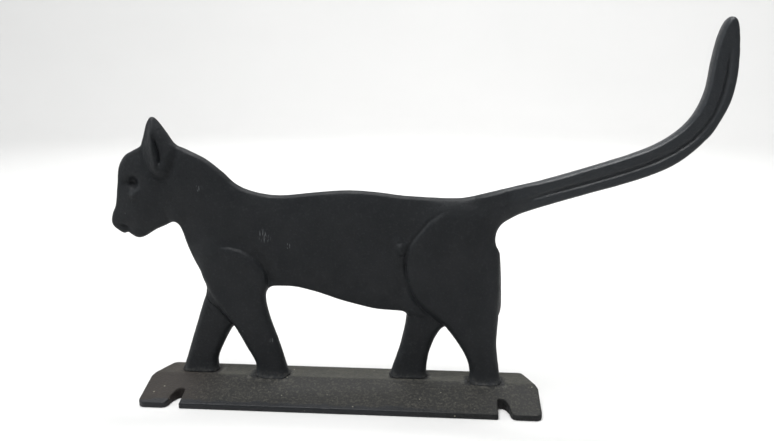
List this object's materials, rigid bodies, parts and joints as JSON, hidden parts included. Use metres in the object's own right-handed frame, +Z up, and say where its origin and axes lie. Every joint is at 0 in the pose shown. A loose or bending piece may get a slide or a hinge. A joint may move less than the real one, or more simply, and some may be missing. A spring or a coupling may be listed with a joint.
{
  "type": "door stop",
  "caption": "Cast-iron door stop: a black walking cat in relief, with a long raised tail, standing on a thin wedge base plate with a notch near each end.",
  "frame": {"origin": "centre of the base plate's underside", "axes": "+X towards the tail along the plate, +Y from the thin front lip to the back edge, +Z up"},
  "size_m": [0.4386, 0.0558, 0.2744],
  "materials": {
    "worn_iron": "sand-cast, dark grey-brown, dusty and lightly worn, matt",
    "black_paint": "blue-black paint over a fine sand-cast grain, matt on the body and glossier on the tail",
    "screw_steel": "dulled zinc"
  },
  "bodies": {
    "root": {"base_plate": "worn_iron", "cat_near_half": "black_paint", "cat_far_half": "black_paint", "foot_screw_1": "screw_steel", "foot_screw_2": "screw_steel", "foot_screw_3": "screw_steel", "foot_screw_4": "screw_steel", "tie_screw_1": "screw_steel", "tie_screw_2": "screw_steel", "tie_screw_3": "screw_steel", "tie_screw_4": "screw_steel"}
  },
  "joints": []
}
